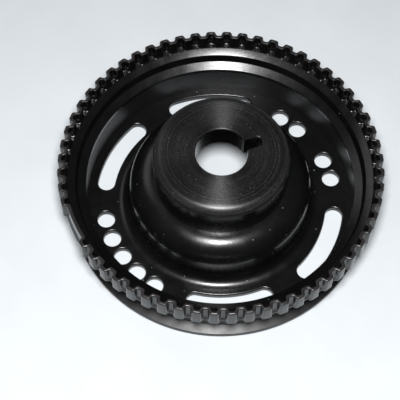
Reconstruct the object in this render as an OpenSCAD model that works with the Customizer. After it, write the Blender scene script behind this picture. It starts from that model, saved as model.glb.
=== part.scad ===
// Crankshaft belt pulley with a formed 60-2 trigger ring.
// Origin on the pulley's axis, in the plane of the rim's back face; +Z points out of the hub face.

/* [Hub boss] */
// Diameter of the shaft bore
bore_d = 24; // [20:0.5:28]
// Height of the hub face above the back of the rim
hub_face_z = 47; // [44:0.5:50]
// Length of the shaft bore
bore_l = 12; // [10:0.5:14]
// Outside diameter of the boss
boss_d = 62.6; // [60:0.2:65]
// Radius of the rounded edge of the boss
boss_edge_r = 4.8; // [2:0.2:7]
// Chamfer at both ends of the bore
bore_chamfer = 0.6; // [0.2:0.1:1]
// Diameter of the recess behind the bore
recess_d = 44; // [36:1:48]
// Diameter of the spigot that goes through the web disc
spigot_d = 57; // [54:0.5:58]
// Length of spigot that stands out behind the web disc
spigot_proud = 1.2; // [0.8:0.1:2]

/* [Keyway] */
// Width of the keyway
key_w = 4.8; // [3:0.2:6]
// Distance from the axis to the rounded end of the keyway
key_reach = 19.2; // [17:0.2:21]
// Direction of the keyway
key_angle = 20.5; // [0:0.5:360]

/* [Web disc] */
// Thickness of the pressed disc
web_t = 3; // [2:0.1:3.2]
// Height of the web's back face above the back of the rim
web_z = 0.4; // [0.2:0.1:1]
// Outside diameter of the raised dome
dome_d = 85; // [83:0.5:87]
// Height of the flat on top of the dome, where the boss sits
dome_top_z = 28.2; // [26:0.2:30]
// Outside radius of the dome's shoulder
dome_shoulder_r = 11.4; // [9:0.2:11.6]
// Radius of the fillet between the dome and the web
dome_fillet_r = 5.5; // [3:0.5:6]

/* [Holes and slots in the web] */
// Diameter of the circle that the holes and slots lie on
hole_pcd = 110; // [108:0.5:112]
// Diameter of each round hole and width of each slot
hole_d = 8.2; // [6:0.1:8.6]
// Angle between neighbouring holes of a group
hole_step = 11.1; // [10:0.1:12]
// Direction of the middle of the first group of holes
hole_angle = 35.2; // [0:0.1:360]
// Angle from the middle of a group of holes to the middle of the nearest slot
slot_offset = 60.5; // [58:0.5:62]
// Angle between the centres of a slot's two round ends
slot_sweep = 34.3; // [20:0.1:36]

/* [Belt rim] */
// Inside diameter of the rim
rim_bore_d = 125.4; // [124:0.2:127]
// Diameter of the two belt flanges
flange_d = 141; // [140:0.2:143]
// Diameter over the tops of the ribs between the grooves
rib_d = 134; // [132:0.2:136]
// Diameter at the bottom of the grooves
groove_d = 128.8; // [128:0.2:130]
// Number of grooves
grooves = 4; // [1:1:4]
// Distance between neighbouring grooves
groove_pitch = 3.56; // [3.4:0.02:3.6]
// Width of the flat at the bottom of a groove
groove_flat = 0.4; // [0.2:0.1:0.6]
// Height of the lower flange's outer edge
flange_z = 3.3; // [3:0.1:3.6]

/* [Trigger ring] */
// Diameter over the tooth tips
tip_d = 150; // [148:0.5:152]
// Depth of the gullets between the teeth
tooth_depth = 2.3; // [2:0.1:2.6]
// Thickness of the toothed wall
wall_t = 1.6; // [1.2:0.1:1.8]
// Number of tooth pitches round the ring
pitches = 60; // [60:60:60]
// Number of teeth left out, which marks the reference position
missing = 2; // [1:1:3]
// Direction of the middle of the gap
gap_angle = 205.3; // [0:0.1:360]
// Height of the tooth tops
tooth_top_z = 35.5; // [34:0.5:37]
// Height of the floor inside the teeth
floor_z = 27.8; // [27.5:0.1:28.4]
// Height of the ring's underside, where the teeth end
ring_base_z = 25.2; // [24.8:0.1:25.6]

/* [Hidden] */

eps = 0.01;
// Facet count given to everything round
ROUND = 96;
// Points per pitch along the gap
GAP_STEPS = 4;
groove_half_angle = 20;

boss_r = boss_d / 2;
bore_r = bore_d / 2;
bore_bottom_z = hub_face_z - bore_l;
spigot_r = spigot_d / 2;
dome_under_z = dome_top_z - web_t;
spigot_end_z = dome_under_z - spigot_proud;

dome_r = dome_d / 2;
web_top_z = web_z + web_t;
shoulder_c = [dome_r - dome_shoulder_r, dome_top_z - dome_shoulder_r];
fillet_c = [dome_r + dome_fillet_r, web_top_z + dome_fillet_r];

rim_r = rim_bore_d / 2;
flange_r = flange_d / 2;
rib_r = rib_d / 2;
groove_r = groove_d / 2;
// Rise of a groove's side, from the groove's bottom out to a radius r
function side_rise(r) = (r - groove_r) * tan(groove_half_angle);
groove_bottom_z = flange_z + side_rise(flange_r) + groove_flat / 2;
flange_chamfer = 1.5;

// The ring's foot is a shallow cone that lies on the top of the rim
foot_inner_z = 18.2;
foot_outer_r = 66.3;
foot_outer_z = 20.1;
foot_t = 2.2;
// The step that lifts the teeth above the foot, inside and outside
step_foot_r = 66.6;
step_foot_z = 22.4;
step_in_r = 67.3;
step_top_z = 26;
step_out_r = 69.6;
// The bevel where the step turns out into the underside, and the sheet's thickness there
base_bevel = [2.2, 1.1];
base_t = 1.4;
ring_weld_leg = 0.9;
hub_weld_leg = spigot_proud;
rim_weld_leg = 1.2;

pitch_angle = 360 / pitches;
tip_r = tip_d / 2;
root_r = tip_r - tooth_depth;
// The plain part of the ring ends inside the toothed wall
blank_r = root_r - 0.4;
teeth = pitches - missing;
// Radius where the cone inside the ring meets the flat floor behind the teeth
floor_in_r = root_r - wall_t - 0.4;
// Half widths of a tooth and of a gullet as parts of one pitch, outside and inside the wall
out_land = [0.25, 0.295, 0.335];
out_gullet = [0.06, 0.11, 0.145];
in_land = [0.13, 0.19, 0.225];
in_gullet = [0.14, 0.205, 0.25];

// A quarter of a ring section about c, between two radii, towards the corner (sx, sz)
module quarter_section(c, r_in, r_out, sx, sz) {
    translate(c)
        intersection() {
            difference() {
                circle(r = r_out, $fn = ROUND);
                circle(r = r_in, $fn = ROUND);
            }
            translate([sx > 0 ? 0 : -r_out, sz > 0 ? 0 : -r_out])
                square(r_out);
        }
}

// A rectangle given by its two opposite corners, as (radius, height)
module section_box(a, b) {
    translate(a)
        square([b[0] - a[0], b[1] - a[1]]);
}

// The corner cut off the bore's edge at height z; side is 1 at the top end and -1 at the bottom
module bore_chamfer_cut(z, side) {
    polygon([
        [bore_r - 1, z - side * (bore_chamfer + 1)],
        [bore_r + bore_chamfer + 1, z + side],
        [bore_r - 1, z + side]
    ]);
}

// Section of the boss: a rounded head, a recess behind the bore and a spigot
module boss_section() {
    difference() {
        union() {
            section_box([bore_r, bore_bottom_z], [boss_r - boss_edge_r, hub_face_z]);
            section_box([recess_d / 2, dome_top_z], [boss_r, hub_face_z - boss_edge_r]);
            section_box([recess_d / 2, spigot_end_z], [spigot_r, dome_top_z + 1]);
            quarter_section([boss_r - boss_edge_r, hub_face_z - boss_edge_r], eps,
                            boss_edge_r, 1, 1);
        }
        bore_chamfer_cut(hub_face_z, 1);
        bore_chamfer_cut(bore_bottom_z, -1);
    }
}

module hub_boss() {
    color("#26272a")
        difference() {
            rotate_extrude($fn = ROUND)
                boss_section();
            rotate(key_angle) {
                translate([0, -key_w / 2, bore_bottom_z - 1])
                    cube([key_reach - key_w / 2, key_w, bore_l + 2]);
                translate([key_reach - key_w / 2, 0, bore_bottom_z - 1])
                    cylinder(d = key_w, h = bore_l + 2, $fn = ROUND);
            }
        }
}

// Weld bead behind the disc, in the corner round the spigot
module hub_weld() {
    color("#303133")
        rotate_extrude($fn = ROUND)
            polygon([
                [spigot_r, dome_under_z - hub_weld_leg],
                [spigot_r + hub_weld_leg, dome_under_z],
                [spigot_r, dome_under_z]
            ]);
}

// Section of the pressed disc: flat top, shoulder, wall, fillet and web
module web_section() {
    section_box([spigot_r, dome_under_z], [shoulder_c[0], dome_top_z]);
    quarter_section(shoulder_c, dome_shoulder_r - web_t, dome_shoulder_r, 1, 1);
    section_box([dome_r - web_t, fillet_c[1]], [dome_r, shoulder_c[1]]);
    quarter_section(fillet_c, dome_fillet_r, dome_fillet_r + web_t, -1, -1);
    difference() {
        section_box([fillet_c[0], web_z], [rim_r, web_top_z]);
        polygon([
            [rim_r - rim_weld_leg, web_z],
            [rim_r + 1, web_z - 1],
            [rim_r + 1, web_z + rim_weld_leg + 1],
            [rim_r, web_z + rim_weld_leg]
        ]);
    }
}

// One round hole through the web; turn places the seam of its wall
module web_hole(angle, turn = 0) {
    rotate(angle)
        translate([hole_pcd / 2, 0, web_z - 1])
            rotate(turn)
                cylinder(d = hole_d, h = web_t + 2, $fn = ROUND);
}

// One curved slot through the web, with round ends
module web_slot(angle) {
    rotate([0, 0, angle - slot_sweep / 2])
        rotate_extrude(angle = slot_sweep, $fn = ROUND)
            translate([hole_pcd / 2 - hole_d / 2, web_z - 1])
                square([hole_d, web_t + 2]);
    web_hole(angle - slot_sweep / 2, 90);
    web_hole(angle + slot_sweep / 2, -90);
}

module web_disc() {
    color("#1b1c1e")
        difference() {
            rotate_extrude($fn = ROUND)
                web_section();
            for (side = [0, 180]) {
                for (i = [-2:2]) {
                    // the first group has no middle hole
                    if (side == 180 || i != 0) {
                        web_hole(hole_angle + side + i * hole_step);
                    }
                }
                web_slot(hole_angle + side + slot_offset);
                web_slot(hole_angle + side - slot_offset);
            }
        }
}

// Weld that fills the corner between the web's edge and the rim
module rim_weld() {
    color("#303133")
        rotate_extrude($fn = ROUND)
            polygon([
                [rim_r - rim_weld_leg, web_z],
                [rim_r, web_z],
                [rim_r, web_z + rim_weld_leg]
            ]);
}

// Outline of groove number i, from the bottom up; the last one opens to the upper flange
function groove_points(i) =
    let (
        z = groove_bottom_z + i * groove_pitch,
        r_low = i == 0 ? flange_r : rib_r,
        r_high = i == grooves - 1 ? flange_r : rib_r
    ) [
        [r_low, z - groove_flat / 2 - side_rise(r_low)],
        [groove_r, z - groove_flat / 2],
        [groove_r, z + groove_flat / 2],
        [r_high, z + groove_flat / 2 + side_rise(r_high)]
    ];

module belt_rim() {
    color("#1f2022")
        rotate_extrude($fn = ROUND)
            polygon(concat(
                [
                    [rim_r, 0],
                    [flange_r - flange_chamfer, 0],
                    [flange_r, flange_chamfer]
                ],
                [for (i = [0:grooves - 1]) each groove_points(i)],
                [
                    [flange_r, foot_outer_z],
                    [foot_outer_r, foot_outer_z],
                    [rim_r, foot_inner_z]
                ]
            ));
}

// Weld bead between the ring's step and the top of the upper flange
module ring_weld() {
    color("#303133")
        rotate_extrude($fn = ROUND)
            polygon([
                [step_out_r, foot_outer_z],
                [step_out_r + ring_weld_leg, foot_outer_z],
                [step_out_r, foot_outer_z + ring_weld_leg]
            ]);
}

// Point at radius r, at a part p of a pitch past the middle of tooth number k
function on_pitch(r, k, p) =
    let (a = gap_angle + (k + p + (missing + 1) / 2) * pitch_angle)
    [r * cos(a), r * sin(a)];

// Half of a tooth flank, from the tooth's middle out to the gullet's middle
function flank(r_tip, r_root, land, gullet) =
    let (d = r_tip - r_root) [
        [r_tip, land[0]],
        [r_tip - d * 0.12, land[1]],
        [r_tip - d * 0.35, land[2]],
        [r_root + d * 0.32, 0.5 - gullet[2]],
        [r_root + d * 0.1, 0.5 - gullet[1]],
        [r_root, 0.5 - gullet[0]]
    ];

// Closed outline of the toothed wall; the gap stays at the root radius
function tooth_outline(r_tip, r_root, land, gullet) =
    let (
        f = flank(r_tip, r_root, land, gullet),
        n = len(f) - 1
    ) concat(
        [for (k = [0:teeth - 1]) each concat(
            [for (i = [n:-1:0]) on_pitch(f[i][0], k, -f[i][1])],
            [for (i = [0:n]) on_pitch(f[i][0], k, f[i][1])]
        )],
        [for (k = [0:missing * GAP_STEPS]) on_pitch(r_root, teeth - 0.5 + k / GAP_STEPS, 0)]
    );

// Everything inside the ring, below the floor of the teeth and above its foot
module ring_inside() {
    rotate_extrude($fn = ROUND)
        polygon([
            [0, foot_inner_z - 1],
            [rim_r, foot_inner_z - 1],
            [rim_r, foot_inner_z + foot_t],
            [step_foot_r, step_foot_z],
            [step_in_r, step_top_z],
            [floor_in_r, floor_z],
            [0, floor_z]
        ]);
}

// The pressed ring inside its toothed wall: foot, step and the bevel under the teeth
module ring_blank() {
    rotate_extrude($fn = ROUND)
        polygon([
            [rim_r, foot_inner_z],
            [foot_outer_r, foot_outer_z],
            [step_out_r, foot_outer_z],
            [step_out_r, ring_base_z - base_bevel[1]],
            [step_out_r + base_bevel[0], ring_base_z],
            [blank_r, ring_base_z + base_t / 2],
            [blank_r, ring_base_z + base_t],
            [rim_r, ring_base_z + base_t]
        ]);
}

module trigger_ring() {
    color("#1b1c1e")
        difference() {
            union() {
                ring_blank();
                translate([0, 0, ring_base_z])
                    linear_extrude(height = tooth_top_z - ring_base_z)
                        polygon(tooth_outline(tip_r, root_r, out_land, out_gullet));
            }
            ring_inside();
            translate([0, 0, floor_z])
                linear_extrude(height = tooth_top_z - floor_z + 1)
                    polygon(tooth_outline(tip_r - wall_t, root_r - wall_t, in_land, in_gullet));
        }
}

hub_boss();
hub_weld();
web_disc();
rim_weld();
belt_rim();
ring_weld();
trigger_ring();
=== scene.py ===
"""Looks of a crankshaft belt pulley with a formed trigger ring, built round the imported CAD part."""

import math

import bmesh
import bpy
from mathutils import Matrix, Vector


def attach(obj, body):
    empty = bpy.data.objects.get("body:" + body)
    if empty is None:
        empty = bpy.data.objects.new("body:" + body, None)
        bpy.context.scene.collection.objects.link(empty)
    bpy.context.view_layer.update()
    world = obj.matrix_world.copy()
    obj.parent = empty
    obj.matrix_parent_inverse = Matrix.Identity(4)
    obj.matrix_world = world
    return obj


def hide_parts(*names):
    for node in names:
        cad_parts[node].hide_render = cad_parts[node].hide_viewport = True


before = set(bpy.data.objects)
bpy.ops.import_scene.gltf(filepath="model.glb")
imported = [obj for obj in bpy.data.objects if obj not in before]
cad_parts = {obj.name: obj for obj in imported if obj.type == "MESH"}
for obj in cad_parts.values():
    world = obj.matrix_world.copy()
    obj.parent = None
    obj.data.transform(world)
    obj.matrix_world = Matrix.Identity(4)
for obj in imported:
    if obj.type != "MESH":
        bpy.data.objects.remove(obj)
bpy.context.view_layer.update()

MM = 0.001
TURN = 2 * math.pi

# ---------------------------------------------------------------- camera and light

EYE_TARGET = Vector((-9.3, -18.7, 35.5)) * MM
EYE_ELEVATION = math.radians(61.2)
EYE_DISTANCE = 600 * MM
EYE_ROLL = math.radians(1.1)


def add_camera():
    """The camera looks down across the hub face, rolled by about a degree."""
    data = bpy.data.cameras.new("camera")
    data.sensor_width = 36
    data.lens = 119.7
    back = Vector((0, -math.cos(EYE_ELEVATION), math.sin(EYE_ELEVATION)))
    level = Vector((1, 0, 0))
    upright = back.cross(level)
    c, s = math.cos(EYE_ROLL), math.sin(EYE_ROLL)
    right = level * c + upright * s
    up = upright * c - level * s
    cam = bpy.data.objects.new("camera", data)
    bpy.context.scene.collection.objects.link(cam)
    turn = Matrix((right, up, back)).transposed().to_4x4()
    cam.matrix_world = Matrix.Translation(EYE_TARGET + back * EYE_DISTANCE) @ turn
    bpy.context.scene.camera = cam


def add_area_light(name, place, target, size, watts, tint=(1, 1, 1)):
    data = bpy.data.lights.new(name, "AREA")
    data.shape = "DISK"
    data.size = size * MM
    data.energy = watts
    data.color = tint
    lamp = bpy.data.objects.new(name, data)
    bpy.context.scene.collection.objects.link(lamp)
    lamp.location = Vector(place) * MM
    aim = Vector(target) * MM - lamp.location
    lamp.rotation_euler = aim.to_track_quat("-Z", "Y").to_euler()


def add_world(strength):
    world = bpy.data.worlds.new("world")
    world.use_nodes = True
    sky = world.node_tree.nodes["Background"]
    sky.inputs["Color"].default_value = (0.80, 0.90, 1.0, 1)
    sky.inputs["Strength"].default_value = strength
    bpy.context.scene.world = world


# ---------------------------------------------------------------- node materials


class Shader:
    """A material's node tree, with short ways to add the nodes that these finishes use."""

    def __init__(self, name):
        self.material = bpy.data.materials.new(name)
        self.material.use_nodes = True
        self.tree = self.material.node_tree
        self.surface = self.tree.nodes["Principled BSDF"]
        self.place = self.tree.nodes.new("ShaderNodeTexCoord").outputs["Object"]

    def link(self, source, target):
        self.tree.links.new(source, target)

    def set(self, **values):
        for key, value in values.items():
            self.surface.inputs[key.replace("_", " ")].default_value = value

    def noise(self, scale, detail=3, where=None, roughness=0.5):
        node = self.tree.nodes.new("ShaderNodeTexNoise")
        node.inputs["Scale"].default_value = scale
        node.inputs["Detail"].default_value = detail
        node.inputs["Roughness"].default_value = roughness
        self.link(where or self.place, node.inputs["Vector"])
        return node.outputs["Fac"]

    def math(self, operation, first, second=None):
        node = self.tree.nodes.new("ShaderNodeMath")
        node.operation = operation
        for socket, value in zip(node.inputs, (first, second)):
            if isinstance(value, (int, float)):
                socket.default_value = value
            elif value is not None:
                self.link(value, socket)
        return node.outputs[0]

    def spread(self, source, low, high, out_low, out_high):
        """source between low and high, mapped to between out_low and out_high."""
        node = self.tree.nodes.new("ShaderNodeMapRange")
        for key, value in (
            ("From Min", low),
            ("From Max", high),
            ("To Min", out_low),
            ("To Max", out_high),
        ):
            node.inputs[key].default_value = value
        self.link(source, node.inputs["Value"])
        return node.outputs["Result"]

    def blend(self, factor, first, second):
        """The first colour where factor is 0 and the second where it is 1."""
        node = self.tree.nodes.new("ShaderNodeMix")
        node.data_type = "RGBA"
        for key, value in (("A", first), ("B", second)):
            sockets = [s for s in node.inputs if s.name == key and s.type == "RGBA"]
            if isinstance(value, tuple):
                sockets[0].default_value = (*value, 1)
            else:
                self.link(value, sockets[0])
        self.link(factor, node.inputs["Factor"])
        return [s for s in node.outputs if s.type == "RGBA"][0]

    def radius(self):
        """Distance from the pulley's axis, in metres."""
        parts = self.tree.nodes.new("ShaderNodeSeparateXYZ")
        self.link(self.place, parts.inputs[0])
        x, y = parts.outputs["X"], parts.outputs["Y"]
        total = self.math("ADD", self.math("MULTIPLY", x, x), self.math("MULTIPLY", y, y))
        return self.math("SQRT", total)

    def height(self):
        parts = self.tree.nodes.new("ShaderNodeSeparateXYZ")
        self.link(self.place, parts.inputs[0])
        return parts.outputs["Z"]

    def bump(self, height, strength, distance):
        node = self.tree.nodes.new("ShaderNodeBump")
        node.inputs["Strength"].default_value = strength
        node.inputs["Distance"].default_value = distance
        self.link(height, node.inputs["Height"])
        self.link(node.outputs["Normal"], self.surface.inputs["Normal"])

    def specks(self, scale, share, where=None):
        """1 on small scattered specks that cover about that share of the surface, 0 elsewhere."""
        node = self.tree.nodes.new("ShaderNodeTexVoronoi")
        node.inputs["Scale"].default_value = scale
        self.link(where or self.place, node.inputs["Vector"])
        near = self.spread(node.outputs["Distance"], 0.06, 0.16, 1, 0)
        parts = self.tree.nodes.new("ShaderNodeSeparateColor")
        self.link(node.outputs["Color"], parts.inputs[0])
        chosen = self.math("LESS_THAN", parts.outputs[0], share)
        return self.math("MULTIPLY", near, chosen)


def coat_material(name, base, rough, seed, dust=0.05, edge=None):
    """Black dip coat on smooth steel: slight orange peel, faint cloudiness and a few dust specks.

    edge is a height in metres above which the coat is thin, paler and duller: the paler colour is
    partly wear, partly a painted highlight along the teeth's top lip.
    """
    s = Shader(name)
    offset = s.tree.nodes.new("ShaderNodeMapping")
    offset.inputs["Location"].default_value = (seed * 0.31, seed * 0.17, seed * 0.23)
    s.link(s.place, offset.inputs["Vector"])
    where = offset.outputs["Vector"]
    clouds = s.noise(45, 4, where)
    lighter = tuple(v * 1.8 for v in base)
    black = s.blend(s.spread(clouds, 0.35, 0.7, 0, 1), base, lighter)
    specks = s.specks(520, dust, where)
    colour = s.blend(specks, black, (0.30, 0.33, 0.35))
    wear = s.spread(s.noise(160, 5, where), 0.3, 0.7, rough - 0.03, rough + 0.05)
    dull = s.math("ADD", wear, s.math("MULTIPLY", specks, 0.4))
    if edge is not None:
        # above edge the colour is paler: partly wear, partly a painted highlight on the top lip
        lip_wear_and_highlight = s.spread(s.height(), edge, edge + 0.0004, 0, 1)
        colour = s.blend(lip_wear_and_highlight, colour, (0.020, 0.018, 0.018))
        dull = s.math("ADD", dull, s.math("MULTIPLY", lip_wear_and_highlight, 0.10))
    s.link(colour, s.surface.inputs["Base Color"])
    s.link(dull, s.surface.inputs["Roughness"])
    s.bump(s.noise(900, 2, where), 0.05, 0.0004)
    s.set(IOR=1.55)
    return s.material


def turned_material(name):
    """Turned steel under a thin black coat, with fine circular tool marks on its flat face; its bore,
    keyway and side walls carry a near-black painted shade.
    """
    s = Shader(name)
    r = s.radius()
    # painted shade: the bore and keyway walls are coloured near-black, and so are the boss's side and
    # underside below the turned head, which reaches further down outside them
    painted_shade_top_z = s.spread(r, 0.0195, 0.021, 0.0463, 0.0418)
    face = s.spread(s.math("SUBTRACT", s.height(), painted_shade_top_z), 0, 0.0006, 0, 1)
    flat = s.spread(s.height(), 0.0464, 0.0469, 0, 1)
    across = s.tree.nodes.new("ShaderNodeCombineXYZ")
    s.link(r, across.inputs["X"])
    s.link(s.height(), across.inputs["Z"])
    marks = s.noise(2600, 3, across.outputs["Vector"])
    grain = s.noise(1900, 4, None, 0.7)
    clouds = s.noise(60, 4)
    tone = s.math("ADD", s.math("MULTIPLY", marks, 0.5), s.math("MULTIPLY", grain, 0.5))
    black = s.blend(s.spread(tone, 0.47, 0.62, 0, 1), (0.001, 0.001, 0.0011), (0.045, 0.042, 0.041))
    dark = s.blend(s.spread(clouds, 0.4, 0.7, 0, 0.5), black, (0.006, 0.006, 0.0065))
    specks = s.specks(700, 0.10)
    pale = s.blend(specks, dark, (0.22, 0.22, 0.23))
    # near-black painted shade where face is 0, on the bore, keyway and side walls
    s.link(s.blend(face, (0.002, 0.002, 0.002), pale), s.surface.inputs["Base Color"])
    rough = s.math("ADD", s.math("MULTIPLY", face, 0.12), 0.24)
    s.link(s.math("ADD", rough, s.spread(grain, 0.3, 0.7, -0.05, 0.08)), s.surface.inputs["Roughness"])
    s.bump(s.math("MULTIPLY", tone, face), 0.22, 0.0002)
    s.link(s.math("MULTIPLY", flat, 0.85), s.surface.inputs["Anisotropic"])
    along = s.tree.nodes.new("ShaderNodeTangent")
    along.direction_type = "RADIAL"
    along.axis = "Z"
    s.link(along.outputs["Tangent"], s.surface.inputs["Tangent"])
    s.set(IOR=1.6, Anisotropic_Rotation=0.25)
    return s.material


def weld_material(name):
    """A coated weld bead: duller than the coat round it, with small pits."""
    s = Shader(name)
    pits = s.noise(700, 4)
    black = s.blend(s.spread(pits, 0.4, 0.65, 0, 1), (0.010, 0.010, 0.010), (0.040, 0.040, 0.042))
    s.link(black, s.surface.inputs["Base Color"])
    s.link(s.spread(pits, 0.3, 0.7, 0.32, 0.5), s.surface.inputs["Roughness"])
    s.bump(pits, 0.3, 0.0004)
    s.set(IOR=1.5)
    return s.material


def floor_material():
    s = Shader("floor")
    cloth = s.spread(s.noise(30, 3), 0.3, 0.7, 0, 1)
    s.link(s.blend(cloth, (0.72, 0.76, 0.79), (0.76, 0.80, 0.83)), s.surface.inputs["Base Color"])
    s.set(Roughness=0.75)
    return s.material


# ---------------------------------------------------------------- meshes

STEPS_ROUND = 360


def circle(r, z, count=STEPS_ROUND):
    return [
        Vector((r * math.cos(TURN * i / count), r * math.sin(TURN * i / count), z))
        for i in range(count)
    ]


def rounded(points, closed, steps=6):
    """A section as (r, z) points, from (r, z, fillet radius) corners."""
    out = []
    n = len(points)
    for i, (r, z, fillet) in enumerate(points):
        here = Vector((r, z))
        if fillet <= 0 or (not closed and i in (0, n - 1)):
            out.append(here)
            continue
        before, after = points[i - 1], points[(i + 1) % n]
        a = (Vector(before[:2]) - here).normalized()
        b = (Vector(after[:2]) - here).normalized()
        half = a.angle(b) / 2
        reach = fillet / math.tan(half)
        middle = here + (a + b).normalized() * (fillet / math.sin(half))
        start = here + a * reach - middle
        sweep = start.angle_signed(here + b * reach - middle)
        count = max(steps, round(abs(sweep) / math.radians(9)))
        for k in range(count + 1):
            turn = Matrix.Rotation(-sweep * k / count, 2)
            out.append(middle + turn @ start)
    return out


class Skin:
    """A mesh made from rings of points; neighbouring rings are joined by quads."""

    def __init__(self):
        self.bm = bmesh.new()

    def ring(self, points):
        return [self.bm.verts.new(p * MM) for p in points]

    def join(self, first, second):
        n = len(first)
        for i in range(n):
            j = (i + 1) % n
            self.bm.faces.new((first[i], first[j], second[j], second[i]))

    def strip(self, rings, closed=False):
        """Joins rings in order. Each is a list of points or of vertices made before."""
        rings = [r if hasattr(r[0], "link_faces") else self.ring(r) for r in rings]
        for a, b in zip(rings, rings[1:] + (rings[:1] if closed else [])):
            if a is not b:
                self.join(a, b)
        return rings

    def lathe(self, section, closed=False, count=STEPS_ROUND):
        return self.strip([circle(r, z, count) for r, z in section], closed)

    def fill(self, z):
        """Fills the flat region between the open edges that lie at height z."""
        edges = [
            e
            for e in self.bm.edges
            if len(e.link_faces) == 1 and all(abs(v.co.z - z * MM) < 1e-7 for v in e.verts)
        ]
        bmesh.ops.triangle_fill(self.bm, use_beauty=True, use_dissolve=False, edges=edges)

    def finish(self, name, node, material, sharp=32, even=True):
        bmesh.ops.remove_doubles(self.bm, verts=self.bm.verts, dist=1e-8)
        bmesh.ops.recalc_face_normals(self.bm, faces=self.bm.faces)
        mesh = bpy.data.meshes.new(name)
        self.bm.to_mesh(mesh)
        self.bm.free()
        mesh.shade_smooth()
        mesh.set_sharp_from_angle(angle=math.radians(sharp))
        mesh.materials.append(material)
        piece = bpy.data.objects.new(name, mesh)
        bpy.context.scene.collection.objects.link(piece)
        if even:
            weighted = piece.modifiers.new("even_shading", "WEIGHTED_NORMAL")
            weighted.keep_sharp = True
            weighted.weight = 100
        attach(piece, "root")
        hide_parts(node)
        return piece


def arc_points(middle, r, start, end, count):
    """Points from angle start to angle end, in degrees, in the plane."""
    return [
        Vector(
            (
                middle[0] + r * math.cos(math.radians(start + (end - start) * i / count)),
                middle[1] + r * math.sin(math.radians(start + (end - start) * i / count)),
                0,
            )
        )
        for i in range(count + 1)
    ]


def lifted(points, z):
    return [Vector((p.x, p.y, z)) for p in points]


# ---------------------------------------------------------------- hub boss

HUB_FACE_Z = 47
BORE_R = 12
BORE_BOTTOM_Z = 35
BORE_CHAMFER = 0.6
BOSS_R = 31.3
BOSS_EDGE_R = 4.8
RECESS_R = 22
SPIGOT_R = 28.5
SPIGOT_END_Z = 24
DOME_TOP_Z = 28.2
DOME_UNDER_Z = 25.2
KEY_HALF = 2.4
KEY_REACH = 19.2
KEY_ANGLE = 20.5


def keyed_outline(grow):
    """The bore's outline with its round-ended keyway, moved outwards by grow."""
    r, half = BORE_R + grow, KEY_HALF + grow
    centre = KEY_REACH - KEY_HALF
    side = math.degrees(math.asin(half / r))
    points = arc_points((0, 0), r, side, 360 - side, 96)
    mouth = r * math.cos(math.radians(side))
    for i in range(1, 5):
        points.append(Vector((mouth + (centre - mouth) * i / 5, -half, 0)))
    points += arc_points((centre, 0), half, -90, 90, 24)
    for i in range(1, 5):
        points.append(Vector((centre + (mouth - centre) * i / 5, half, 0)))
    turn = Matrix.Rotation(math.radians(KEY_ANGLE), 3, "Z")
    return [turn @ p for p in points]


def add_hub(material):
    skin = Skin()
    face_edge = BOSS_R - BOSS_EDGE_R
    section = rounded(
        [
            (face_edge - 1, HUB_FACE_Z, 0),
            (BOSS_R, HUB_FACE_Z, BOSS_EDGE_R - 0.01),
            (BOSS_R, DOME_TOP_Z, 0.25),
            (SPIGOT_R, DOME_TOP_Z, 0),
            (SPIGOT_R, SPIGOT_END_Z, 0.3),
            (RECESS_R, SPIGOT_END_Z, 0.4),
            (RECESS_R, BORE_BOTTOM_Z, 0.8),
            (RECESS_R - 2, BORE_BOTTOM_Z, 0),
        ],
        closed=False,
        steps=12,
    )
    skin.lathe(section)
    tops = []
    for k in range(5):
        t = k / 4
        tops.append((BORE_CHAMFER * (1 - t) ** 1.3, HUB_FACE_Z - BORE_CHAMFER * t))
    low = BORE_BOTTOM_Z
    walls = tops + [(0, low + BORE_CHAMFER), (BORE_CHAMFER, low)]
    skin.strip([lifted(keyed_outline(grow), z) for grow, z in walls])
    skin.fill(HUB_FACE_Z)
    skin.fill(BORE_BOTTOM_Z)
    skin.finish("hub_boss_turned", "hub_boss", material)


# ---------------------------------------------------------------- web disc

WEB_TOP_Z = 3.4
WEB_UNDER_Z = 0.4
WEB_T = 3
DOME_R = 42.5
DOME_SHOULDER_R = 11.4
DOME_FILLET_R = 5.5
RIM_R = 62.7
RIM_WELD_LEG = 1.2
HOLE_PCD_R = 55
HOLE_R = 4.1
HOLE_STEP = 11.1
HOLE_ANGLE = 35.2
SLOT_OFFSET = 60.5
SLOT_HALF_SWEEP = 17.15


def hole_outline(angle, grow):
    a = math.radians(angle)
    middle = (HOLE_PCD_R * math.cos(a), HOLE_PCD_R * math.sin(a))
    return arc_points(middle, HOLE_R + grow, 0, 360, 48)[:-1]


def slot_outline(angle, grow):
    """A curved slot with round ends, moved outwards by grow."""
    half = HOLE_R + grow
    ends = []
    for side in (1, -1):
        a = angle + side * SLOT_HALF_SWEEP
        middle = (
            HOLE_PCD_R * math.cos(math.radians(a)),
            HOLE_PCD_R * math.sin(math.radians(a)),
        )
        start = a if side > 0 else a + 180
        ends.append(arc_points(middle, half, start, start + 180, 18))
    low, high = angle - SLOT_HALF_SWEEP, angle + SLOT_HALF_SWEEP
    outer = arc_points((0, 0), HOLE_PCD_R + half, low, high, 28)[1:-1]
    inner = arc_points((0, 0), HOLE_PCD_R - half, high, low, 28)[1:-1]
    return outer + ends[0] + inner + ends[1]


def web_cuts():
    """Each hole and slot as a function that gives its outline for a growth."""
    cuts = []
    for side in (0, 180):
        for i in range(-2, 3):
            # the first group has no middle hole
            if side or i:
                angle = HOLE_ANGLE + side + i * HOLE_STEP
                cuts.append(lambda g, a=angle: hole_outline(a, g))
        for way in (1, -1):
            angle = HOLE_ANGLE + side + way * SLOT_OFFSET
            cuts.append(lambda g, a=angle: slot_outline(a, g))
    return cuts


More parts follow.
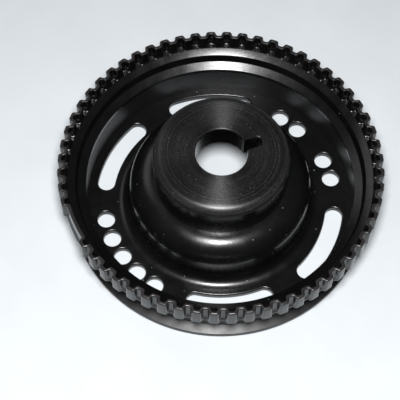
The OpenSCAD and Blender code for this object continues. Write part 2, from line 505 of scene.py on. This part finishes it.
def add_web(material):
    skin = Skin()
    flat_r = DOME_R + DOME_FILLET_R
    dome = rounded(
        [
            (flat_r, WEB_TOP_Z, 0),
            (DOME_R, WEB_TOP_Z, DOME_FILLET_R - 0.001),
            (DOME_R, DOME_TOP_Z, DOME_SHOULDER_R),
            (SPIGOT_R, DOME_TOP_Z, 0),
            (SPIGOT_R, DOME_UNDER_Z, 0),
            (DOME_R - WEB_T, DOME_UNDER_Z, DOME_SHOULDER_R - WEB_T),
            (DOME_R - WEB_T, WEB_UNDER_Z, DOME_FILLET_R + WEB_T - 0.001),
            (flat_r, WEB_UNDER_Z, 0),
        ],
        closed=False,
        steps=8,
    )
    skin.lathe(dome)
    skin.lathe(
        [
            (RIM_R, WEB_TOP_Z),
            (RIM_R, WEB_UNDER_Z + RIM_WELD_LEG),
            (RIM_R - RIM_WELD_LEG, WEB_UNDER_Z),
        ]
    )
    top_roll, low_roll = 0.75, 0.3
    walls = []
    for k in range(7):
        t = k / 6 * math.pi / 2
        walls.append((top_roll * (1 - math.sin(t)), WEB_TOP_Z - top_roll * (1 - math.cos(t))))
    for k in range(4):
        t = k / 3 * math.pi / 2
        walls.append((low_roll * (1 - math.cos(t)), WEB_UNDER_Z + low_roll * (1 - math.sin(t))))
    for cut in web_cuts():
        skin.strip([lifted(cut(grow), z) for grow, z in walls])
    skin.fill(WEB_TOP_Z)
    skin.fill(WEB_UNDER_Z)
    skin.finish("web_disc_pressed", "web_disc", material, sharp=50)


# ---------------------------------------------------------------- rim and welds

FLANGE_R = 70.5
RIB_R = 67
GROOVE_R = 64.4
GROOVES = 4
GROOVE_PITCH = 3.56
GROOVE_FLAT = 0.4
GROOVE_SLOPE = math.tan(math.radians(20))
FLANGE_Z = 3.3
FLANGE_CHAMFER = 1.5
FOOT_INNER_Z = 18.2
FOOT_R = 66.3
FOOT_Z = 20.1


def add_rim(material):
    first = FLANGE_Z + (FLANGE_R - GROOVE_R) * GROOVE_SLOPE + GROOVE_FLAT / 2
    corners = [
        (RIM_R, 0, 0.3),
        (FLANGE_R - FLANGE_CHAMFER, 0, 0.3),
        (FLANGE_R, FLANGE_CHAMFER, 0.4),
    ]
    for i in range(GROOVES):
        z = first + i * GROOVE_PITCH
        low = FLANGE_R if i == 0 else RIB_R
        high = FLANGE_R if i == GROOVES - 1 else RIB_R
        half = GROOVE_FLAT / 2
        corners += [
            (low, z - half - (low - GROOVE_R) * GROOVE_SLOPE, 0.35 if i == 0 else 0.15),
            (GROOVE_R, z - half, 0.12),
            (GROOVE_R, z + half, 0.12),
            (high, z + half + (high - GROOVE_R) * GROOVE_SLOPE, 0.15),
        ]
    corners += [(FLANGE_R, FOOT_Z, 0.2), (FOOT_R, FOOT_Z, 0), (RIM_R, FOOT_INNER_Z, 0)]
    skin = Skin()
    skin.lathe(rounded(corners, closed=True, steps=5), closed=True)
    skin.finish("belt_rim_turned", "belt_rim", material)


def add_weld(name, node, corner, legs, material, ripples):
    """A weld bead in the corner at (r, z), with legs along r and z and a rippled face."""
    r0, z0 = corner
    dr, dz = legs
    count = ripples * 8
    rings = []
    for k in range(8):
        t = k / 7 * math.pi / 2
        ring = []
        for i in range(count):
            a = TURN * i / count
            ripple = 1 - 0.10 * (0.5 + 0.5 * math.cos(a * ripples)) * math.sin(2 * t)
            bulge = 0.78 * ripple
            along = math.cos(t) * (1 if k in (0, 7) else bulge)
            rise = math.sin(t) * (1 if k in (0, 7) else bulge)
            r = r0 + dr * along
            ring.append(Vector((r * math.cos(a), r * math.sin(a), z0 + dz * rise)))
        rings.append(ring)
    rings.append(circle(r0, z0, count))
    skin = Skin()
    skin.strip(rings, closed=True)
    skin.finish(name, node, material)


# ---------------------------------------------------------------- trigger ring

PITCHES = 60
MISSING = 2
GAP_ANGLE = 205.3
GAP_STEPS = 6
TIP_R = 75
TOOTH_DEPTH = 2.3
ROOT_R = TIP_R - TOOTH_DEPTH
WALL_T = 1.6
TOOTH_TOP_Z = 35.5
FLOOR_Z = 27.8
RING_BASE_Z = 25.2
FLOOR_IN_R = ROOT_R - WALL_T - 0.4
# the gullets widen outwards below this height
FLARE_Z = 28.2
FLARE = 0.9
# the step that lifts the teeth above the foot, inside and outside
FOOT_T = 2.2
STEP_FOOT_R = 66.6
STEP_FOOT_Z = 22.4
STEP_IN_R = 67.3
STEP_TOP_Z = 26
STEP_OUT_R = 69.6
BEVEL_R = 71.6
BEVEL_Z = 24.1
# roundings: where the floor meets the wall, and the wall's inner, outer and lower edges
FLOOR_ROUND = 0.9
INNER_ROUND = 0.4
OUTER_ROUND = 0.8
LOWER_ROUND = 0.8
# legs of the weld beads
HUB_WELD_LEG = 1.2
RING_WELD_LEG = 0.9
# half widths of a tooth and of a gullet as parts of one pitch, outside and inside the wall
OUT_LAND = (0.2, 0.25, 0.295)
OUT_GULLET = (0.09, 0.14, 0.175)
IN_LAND = (0.1, 0.155, 0.19)
IN_GULLET = (0.17, 0.235, 0.28)


def flank(tip, root, land, gullet):
    d = tip - root
    return [
        (tip, land[0]),
        (tip - d * 0.12, land[1]),
        (tip - d * 0.35, land[2]),
        (root + d * 0.32, 0.5 - gullet[2]),
        (root + d * 0.1, 0.5 - gullet[1]),
        (root, 0.5 - gullet[0]),
    ]


def tooth_outline(tip, root, land, gullet):
    """Closed outline of the toothed wall as (radius, angle); the gap stays at the root radius."""
    half = flank(tip, root, land, gullet)
    pitch = TURN / PITCHES
    start = math.radians(GAP_ANGLE) + (MISSING + 1) / 2 * pitch
    marks = []
    for k in range(PITCHES - MISSING):
        tooth = [(r, -p) for r, p in reversed(half)] + [(tip, 0)] + half
        marks += [(r, k + p) for r, p in tooth]
        if k < PITCHES - MISSING - 1:
            marks.append((root, k + 0.5))
    last = PITCHES - MISSING - 0.5
    marks += [(root, last + MISSING * k / GAP_STEPS / 2) for k in range(2 * GAP_STEPS + 1)]
    return [(r, start + p * pitch) for r, p in marks]


def softened(outline):
    """The outline with every corner cut once, so that the bends of the sheet are round."""
    out = []
    n = len(outline)
    for i in range(n):
        (r0, a0), (r1, a1) = outline[i], outline[(i + 1) % n]
        if i == n - 1:
            a1 += TURN
        for t in (0.25, 0.75):
            out.append((r0 + (r1 - r0) * t, a0 + (a1 - a0) * t))
    return out


def between(first, second, t):
    """Points a share t of the way from the first ring to the second."""
    return [p.lerp(q, t) for p, q in zip(first, second)]


class Wall:
    """One face of the corrugated wall: its plan and the outward normals along it."""

    def __init__(self, outline):
        self.angles = [a for _, a in outline]
        self.points = [Vector((r * math.cos(a), r * math.sin(a), 0)) for r, a in outline]
        n = len(self.points)
        self.normals = []
        for i in range(n):
            along = (self.points[(i + 1) % n] - self.points[i - 1]).normalized()
            self.normals.append(Vector((along.y, -along.x, 0)))

    def at(self, grow, z, low=0):
        """The plan moved outwards by grow, kept outside the radius low, at height z."""
        ring = []
        for p, n in zip(self.points, self.normals):
            q = p + n * grow
            r = max(q.length, low)
            q = q * (r / q.length)
            ring.append(Vector((q.x, q.y, z)))
        return ring

    def round(self, r, z):
        """A plain circle with one point at each angle of the plan."""
        return [Vector((r * math.cos(a), r * math.sin(a), z)) for a in self.angles]


def quarter(count):
    return [math.pi / 2 * k / count for k in range(count + 1)]


def add_ring(material):
    inner = Wall(softened(tooth_outline(TIP_R - WALL_T, ROOT_R - WALL_T, IN_LAND, IN_GULLET)))
    outer = Wall(softened(tooth_outline(TIP_R, ROOT_R, OUT_LAND, OUT_GULLET)))
    flare = Wall(softened(tooth_outline(TIP_R, ROOT_R + FLARE, OUT_LAND, OUT_GULLET)))
    inside = rounded(
        [
            (RIM_R, FOOT_INNER_Z, 0),
            (RIM_R, FOOT_INNER_Z + FOOT_T, 0.25),
            (STEP_FOOT_R, STEP_FOOT_Z, 0.9),
            (STEP_IN_R, STEP_TOP_Z, 0.7),
            (FLOOR_IN_R, FLOOR_Z, 1.0),
            (FLOOR_IN_R + 0.4, FLOOR_Z, 0),
        ],
        closed=False,
        steps=5,
    )
    rings = [inner.round(r, z) for r, z in inside[:-1]]
    foot, lip, hem = FLOOR_ROUND, OUTER_ROUND, LOWER_ROUND
    for t in quarter(5):
        rings.append(
            inner.at(foot * (math.sin(t) - 1), FLOOR_Z + foot * (1 - math.cos(t)), FLOOR_IN_R)
        )
    top = TOOTH_TOP_Z
    for t in quarter(4):
        grow, drop = INNER_ROUND * (1 - math.cos(t)), INNER_ROUND * (1 - math.sin(t))
        rings.append(inner.at(grow, top - drop))
    for t in reversed(quarter(6)):
        rings.append(outer.at(-lip * (1 - math.cos(t)), top - lip * (1 - math.sin(t))))
    straight, flared = outer.at(0, 0), flare.at(0, 0)
    for k in range(7):
        z = FLARE_Z + (RING_BASE_Z + hem - FLARE_Z) * k / 6
        rings.append(lifted(between(straight, flared, 0.5 - 0.5 * math.cos(math.pi * k / 6)), z))
    for t in quarter(6)[1:]:
        z = RING_BASE_Z + hem * (1 - math.sin(t))
        rings.append(flare.at(-hem * (1 - math.cos(t)), z))
    outside = rounded(
        [
            (ROOT_R - 0.85, RING_BASE_Z, 0),
            (BEVEL_R, RING_BASE_Z, 0.4),
            (STEP_OUT_R, BEVEL_Z, 0.8),
            (STEP_OUT_R, FOOT_Z, 0.1),
            (FOOT_R, FOOT_Z, 0),
        ],
        closed=False,
        steps=4,
    )
    rings += [outer.round(r, z) for r, z in outside[1:]]
    skin = Skin()
    skin.strip(rings, closed=True)
    skin.finish("trigger_ring_formed", "trigger_ring", material, 60, even=False)


# ---------------------------------------------------------------- floor


def add_floor():
    skin = bmesh.new()
    bmesh.ops.create_grid(skin, x_segments=8, y_segments=8, size=2.5)
    mesh = bpy.data.meshes.new("floor")
    skin.to_mesh(mesh)
    skin.free()
    mesh.materials.append(floor_material())
    floor = bpy.data.objects.new("floor", mesh)
    bpy.context.scene.collection.objects.link(floor)


add_camera()
bpy.context.scene.view_settings.view_transform = "Standard"
add_world(0.03)
add_area_light("key", (-9, -258, 588), (0, 0, 20), 130, 5.0)
add_area_light("fill", (-500, 500, 700), (0, 0, 20), 500, 0.6)

weld = weld_material("weld")
add_hub(turned_material("turned_hub"))
add_web(coat_material("web_coat", (0.0028, 0.0028, 0.003), 0.25, 1, 0.05))
add_rim(coat_material("rim_coat", (0.004, 0.004, 0.0042), 0.41, 2, 0.03))
add_ring(coat_material("ring_coat", (0.0028, 0.0028, 0.003), 0.22, 3, 0.03, 0.0347))
add_weld("hub_weld_bead", "hub_weld", (SPIGOT_R, DOME_UNDER_Z), (HUB_WELD_LEG, -HUB_WELD_LEG), weld, 60)
add_weld("rim_weld_bead", "rim_weld", (RIM_R, WEB_UNDER_Z), (-RIM_WELD_LEG, RIM_WELD_LEG), weld, 110)
add_weld("ring_weld_bead", "ring_weld", (STEP_OUT_R, FOOT_Z), (RING_WELD_LEG,) * 2, weld, 120)
add_floor()
